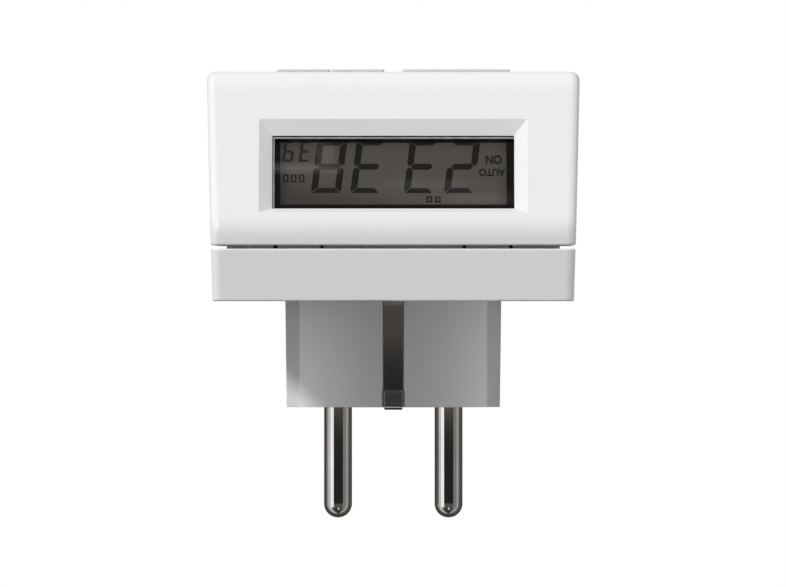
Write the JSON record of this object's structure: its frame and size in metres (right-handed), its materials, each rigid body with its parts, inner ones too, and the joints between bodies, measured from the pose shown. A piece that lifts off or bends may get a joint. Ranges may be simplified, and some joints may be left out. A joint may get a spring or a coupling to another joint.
{
  "type": "digital plug-in timer",
  "caption": "Digital plug-in timer: casing with sloping display and keys, earthed plug on its back and earthed socket on its front.",
  "frame": {"origin": "midway between the plug pins, on the face of the plug block", "axes": "+Z out of the wall towards the socket, +X to the right when the display is looked at, display end towards -Y"},
  "size_m": [0.0634, 0.1, 0.0767],
  "materials": {
    "casing_white": "fine satin moulding",
    "key_white": "satin moulding",
    "plunger_grey": "moulded",
    "clear_window": "polished clear plastic",
    "display_glass": "polarising film on glass",
    "inner_moulding": "moulded",
    "relay_cover_black": "moulded",
    "contact_rubber": "layered silicone",
    "circuit_board": "glass laminate with green mask",
    "chip_resin": "poured resin",
    "bright_steel": "zinc plated",
    "cable_film": "flat film cable",
    "switch_black": "moulded",
    "relay_iron": "plated soft iron",
    "copper_winding": "enamelled copper wire",
    "contact_brass": "stamped strip",
    "capacitor_box": "moulded box",
    "capacitor_sleeve": "shrunk sleeve",
    "varistor_coat": "dipped lacquer",
    "cell_can": "nickel plated",
    "diode_black": "moulded",
    "resistor_coat": "lacquer",
    "nickel_pin": "nickel plated brass",
    "earth_steel": "tinned spring bronze",
    "shutter_grey": "moulded"
  },
  "bodies": {
    "casing": {"front_cover": "casing_white", "rear_cover": "casing_white", "display_window": "clear_window", "display_panel": "display_glass", "display_holder": "inner_moulding", "contact_carrier": "inner_moulding", "relay_base": "inner_moulding", "relay_bobbin": "inner_moulding", "relay_cover": "relay_cover_black", "contact_strips": "contact_rubber", "display_board": "circuit_board", "key_board": "circuit_board", "power_board": "circuit_board", "display_chip": "chip_resin", "display_screws": "bright_steel", "key_board_screws": "bright_steel", "power_board_screws": "bright_steel", "cover_screws": "bright_steel", "shutter_clip": "bright_steel", "shutter_spring": "bright_steel", "display_crystal": "bright_steel", "cell_tabs": "bright_steel", "ribbon_cable": "cable_film", "switch_bodies": "switch_black", "relay_yoke": "relay_iron", "relay_core": "relay_iron", "relay_winding": "copper_winding", "relay_fixed_contact": "contact_brass", "neutral_contact": "contact_brass", "live_feed_strip": "contact_brass", "live_socket_contact": "contact_brass", "film_capacitor": "capacitor_box", "electrolytic_capacitor": "capacitor_sleeve", "varistor": "varistor_coat", "backup_cell": "cell_can", "rectifier_diodes": "diode_black", "resistors": "resistor_coat", "plug_pin_live": "nickel_pin", "plug_pin_neutral": "nickel_pin", "earth_strip_display_end": "earth_steel", "earth_strip_lower_end": "earth_steel", "earth_bridge": "earth_steel"},
    "week_button": {"week_key": "key_white", "week_plunger": "plunger_grey"},
    "clock_button": {"clock_key": "key_white", "clock_plunger": "plunger_grey"},
    "manual_button": {"manual_key": "key_white", "manual_plunger": "plunger_grey"},
    "hour_button": {"hour_key": "key_white", "hour_plunger": "plunger_grey"},
    "minute_button": {"minute_key": "key_white", "minute_plunger": "plunger_grey"},
    "timer_button": {"timer_key": "key_white", "timer_plunger": "plunger_grey"},
    "reset_pin": {"reset_button": "key_white", "reset_plunger": "plunger_grey"},
    "socket_shutter": {"shutter": "shutter_grey"},
    "relay_switch": {"relay_armature": "relay_iron", "relay_blade": "contact_brass"}
  },
  "joints": [
    {"name": "week_press", "type": "slide", "parent": "casing", "child": "week_button", "axis": [0, 0, -1], "range_m": [0, 0.0004], "stiffness_N_per_m": 400, "springref_m": -0.0008},
    {"name": "clock_press", "type": "slide", "parent": "casing", "child": "clock_button", "axis": [0, 0, -1], "range_m": [0, 0.0004], "stiffness_N_per_m": 400, "springref_m": -0.0008},
    {"name": "manual_press", "type": "slide", "parent": "casing", "child": "manual_button", "axis": [0, 0, -1], "range_m": [0, 0.0004], "stiffness_N_per_m": 400, "springref_m": -0.0008},
    {"name": "hour_press", "type": "slide", "parent": "casing", "child": "hour_button", "axis": [0, 0, -1], "range_m": [0, 0.0004], "stiffness_N_per_m": 400, "springref_m": -0.0008},
    {"name": "minute_press", "type": "slide", "parent": "casing", "child": "minute_button", "axis": [0, 0, -1], "range_m": [0, 0.0004], "stiffness_N_per_m": 400, "springref_m": -0.0008},
    {"name": "timer_press", "type": "slide", "parent": "casing", "child": "timer_button", "axis": [0, 0, -1], "range_m": [0, 0.0004], "stiffness_N_per_m": 400, "springref_m": -0.0008},
    {"name": "reset_press", "type": "slide", "parent": "casing", "child": "reset_pin", "axis": [0, 0, -1], "range_m": [0, 0.0004], "stiffness_N_per_m": 400, "springref_m": -0.0008},
    {"name": "shutter_turn", "type": "hinge", "parent": "casing", "child": "socket_shutter", "pos_m": [0, 0, 0.036], "axis": [0, 0, 1], "range_deg": [0, 45], "stiffness_Nm_per_rad": 0.002, "springref_deg": -17.19, "deforming": ["shutter_spring"]},
    {"name": "relay_swing", "type": "hinge", "parent": "casing", "child": "relay_switch", "pos_m": [-0.0073, -0.0355, 0.0381], "axis": [0, -1, 0], "range_deg": [0, 4], "stiffness_Nm_per_rad": 0.01, "springref_deg": -5.73}
  ]
}
